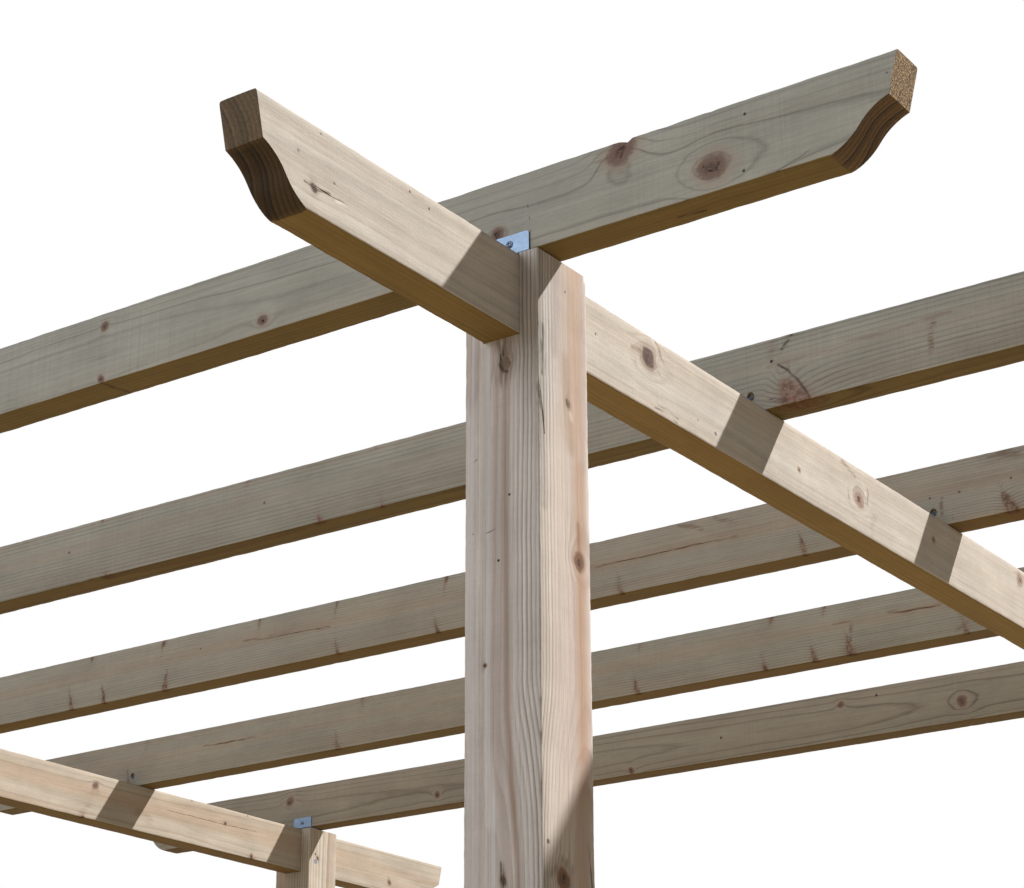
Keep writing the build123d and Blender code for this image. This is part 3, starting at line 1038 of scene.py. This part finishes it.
def lifted(part, rise):
    """A part of a screw moved along the screw's own line."""
    shift = part.make("ShaderNodeCombineXYZ", {2: rise})
    return part.make("GeometryNodeTransform", {"Geometry": part, "Translation": shift})


def joined(*parts):
    """Parts of a screw as one geometry."""
    whole = parts[0].make("GeometryNodeJoinGeometry")
    for part in parts:
        part.tree.links.new(part.socket, whole.socket.node.inputs[0])
    return whole


def screw_tree(name, head, plating):
    """Geometry nodes that set one screw at every point given, turned to the point's own direction."""
    tree = bpy.data.node_groups.new(name, "GeometryNodeTree")
    ports = tree.interface
    ports.new_socket("Places", in_out="INPUT", socket_type="NodeSocketGeometry")
    sizes = {}
    for label, value in head.items():
        port = ports.new_socket(label, in_out="INPUT", socket_type="NodeSocketFloat")
        port.default_value = value
        sizes[label] = port.identifier
    ports.new_socket("Screws", in_out="OUTPUT", socket_type="NodeSocketGeometry")
    step = Shade(tree)
    given = step.make("NodeGroupInput").socket.node.outputs
    size = {label: Shade(tree, given[label]) for label in head}

    radius, height = size["diameter"] * 0.5, size["height"]
    if "length" in head:
        cone = step.make("GeometryNodeMeshCone", {
            "Vertices": cone_facets, "Side Segments": 2, "Depth": height,
            "Radius Top": radius, "Radius Bottom": size["shank"] * 0.5,
        })
        shank = step.make("GeometryNodeMeshCylinder", {
            "Vertices": shank_facets, "Radius": size["shank"] * 0.5, "Depth": size["length"] - height * 0.9,
        })
        body = joined(lifted(cone, height * -1.0), lifted(shank, size["length"] * -0.5 - height * 0.45))
    else:
        ball = step.make("GeometryNodeMeshUVSphere", {
            "Segments": ball_facets, "Rings": ball_rings, "Radius": radius,
        })
        flat = step.make("ShaderNodeCombineXYZ", {0: 1.0, 1: 1.0, 2: height / radius})
        body = step.make("GeometryNodeTransform", {"Geometry": ball, "Scale": flat})
    arms = []
    for wide, long in (("slot", "recess"), ("recess", "slot")):
        extent = step.make("ShaderNodeCombineXYZ", {0: size[wide], 1: size[long], 2: height * 1.4})
        arm = step.make("GeometryNodeMeshCube", {"Size": extent})
        arms.append(lifted(arm, height * (0.0 if "length" in head else 1.0)))
    cut = step.make(
        "GeometryNodeMeshBoolean", {"Mesh 1": body, "Mesh 2": joined(*arms), "Self Intersection": True},
        operation="DIFFERENCE", solver="EXACT",
    )
    way = step.make("GeometryNodeInputNamedAttribute", {"Name": "way"}, data_type="FLOAT_VECTOR")
    turn = step.make("FunctionNodeAlignRotationToVector", {"Vector": way}, axis="Z")
    places = Shade(tree, given["Places"])
    set_in = step.make("GeometryNodeInstanceOnPoints", {"Points": places, "Instance": cut, "Rotation": turn})
    real = step.make("GeometryNodeRealizeInstances", {0: set_in})
    plated = step.make("GeometryNodeSetMaterial", {"Geometry": real, "Material": plating})
    step.make("NodeGroupOutput", {0: plated})
    return tree, sizes


def set_screws(name, seats, head, plating):
    """Screws of one kind as one plain mesh, each at its seat and facing out along the seat's direction."""
    points = bpy.data.meshes.new(f"{name}_seats")
    points.from_pydata([tuple(place) for place, _ in seats], [], [])
    ways = points.attributes.new("way", "FLOAT_VECTOR", "POINT")
    for number, (_, way) in enumerate(seats):
        ways.data[number].vector = way
    maker = put(f"{name}_maker", points)
    tree, sizes = screw_tree(f"{name}_tree", head, plating)
    built = maker.modifiers.new("screws", "NODES")
    built.node_group = tree
    for label, value in head.items():
        built[sizes[label]] = value
    mesh = bpy.data.meshes.new_from_object(maker.evaluated_get(bpy.context.evaluated_depsgraph_get()))
    maker.modifiers.remove(built)
    bpy.data.objects.remove(maker)
    mesh.name = name
    mesh.shade_smooth()
    mesh.set_sharp_from_angle(angle=screw_crease)
    piece = put(name, mesh)
    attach(piece, "root")
    return piece


plate_zinc = zinc("bracket_zinc", spangle=5.0, seed=51)
for end in ("front", "back"):
    for side in ("left", "right"):
        nodes[f"bracket_{end}_{side}"].material_slots[0].material = plate_zinc
bracket_seats = []
for end, face in ((-1, rafter_faces[0]), (1, rafter_faces[-1])):
    for side in (-1, 1):
        across = side * post_spacing_x / 2 + bracket_shift[end]
        place = Vector((across, face - bracket_gauge, post_height + bracket_hole_rise)) / metre
        bracket_seats.append((place, (0, -1, 0)))
pan_zinc = zinc("pan_head_zinc", spangle=2.0, seed=52)
pan_screws = set_screws("bracket_screws", bracket_seats, pan_head, pan_zinc)


# The structural screws: countersunk, plated steel, with a cross recess. One pins each beam through
# the inner tongue of its fork, and one is toed down through each inner rafter into each beam.
countersunk = dict(diameter=0.010, height=0.003, shank=0.005, length=0.060, recess=0.0052, slot=0.0013)
toe_screw_length = 0.065
fork_screw_inset = 23
fork_screw_rise = 23
sunk = 0.0003
screw_zinc = zinc("screw_zinc", spangle=1.6, seed=53)

fork_seats = []
for end in (-1, 1):
    for side in (-1, 1):
        place = Vector((
            side * (post_spacing_x - post_width) / 2,
            end * post_spacing_y / 2 - post_width / 2 + fork_screw_inset,
            fork_floor + fork_screw_rise,
        )) / metre
        way = Vector((-side, 0, 0))
        fork_seats.append((place - way * sunk, way))
fork_screws = set_screws("fork_screws", fork_seats, countersunk, screw_zinc)
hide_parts("fork_screws_front", "fork_screws_back")

way = -Vector(toe_screw_way)
toe_seats = [(head - way * sunk, way) for face in rafter_faces[1:-1] for head in toe_heads(face)]
toe_screws = set_screws("toe_screws", toe_seats, dict(countersunk, length=toe_screw_length), screw_zinc)
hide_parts("toe_screws_2", "toe_screws_3", "toe_screws_4")


# The floor and the light: a plain pale floor under a soft sky, with one narrow lamp high up behind
# the right side and a broad weak one in front. They are not part of the object.
floor_half = 5.5
floor_drop = 0.001
sky_tone = (0.93, 0.96, 1.0, 1)
sky_light = 0.07

floor_mesh = bpy.data.meshes.new("floor")
corners = [(x * floor_half, y * floor_half, -floor_drop) for x, y in ((-1, -1), (1, -1), (1, 1), (-1, 1))]
floor_mesh.from_pydata(corners, [], [(0, 1, 2, 3)])
pale_floor, sheet = new_material("pale_floor")
matt = sheet.make("ShaderNodeBsdfPrincipled", {"Base Color": rgb(172, 161, 140), "Roughness": 0.9})
sheet.make("ShaderNodeOutputMaterial", {0: matt})
floor_mesh.materials.append(pale_floor)
floor = put("floor", floor_mesh)

world = bpy.data.worlds.new("studio")
bpy.context.scene.world = world
world.use_nodes = True
world.node_tree.nodes.clear()
sky = Shade(world.node_tree)
rays = sky.make("ShaderNodeLightPath").socket.node.outputs
seen = [Shade(world.node_tree, rays[f"Is {kind} Ray"]) for kind in ("Camera", "Glossy", "Transmission")]
seen = reduce(Shade.high, seen)
tone = sky.blend(seen, sky_tone, (1, 1, 1, 1))
lit = sky.make("ShaderNodeBackground", {"Color": tone, "Strength": seen * (1 - sky_light) + sky_light})
sky.make("ShaderNodeOutputWorld", {0: lit})


def lamp(name, place, aim, size, power, tone):
    """A round lamp that hangs at a place and looks at an aim."""
    light = bpy.data.lights.new(name, "AREA")
    light.shape = "DISK"
    light.size = size
    light.energy = power
    light.color = tone
    look = (Vector(aim) - Vector(place)).to_track_quat("-Z", "Y").to_matrix().to_4x4()
    put(name, light).matrix_world = Matrix.Translation(place) @ look


lamp("key", place=(10.0, 12.3, 20.3), aim=(1.0, -0.5, 2.3), size=0.5, power=10400, tone=(1.0, 0.975, 0.94))
lamp("fill", place=(-3.0, -9.0, 5.0), aim=(0, 0, 2.0), size=6.0, power=355, tone=(0.9, 0.96, 1.0))
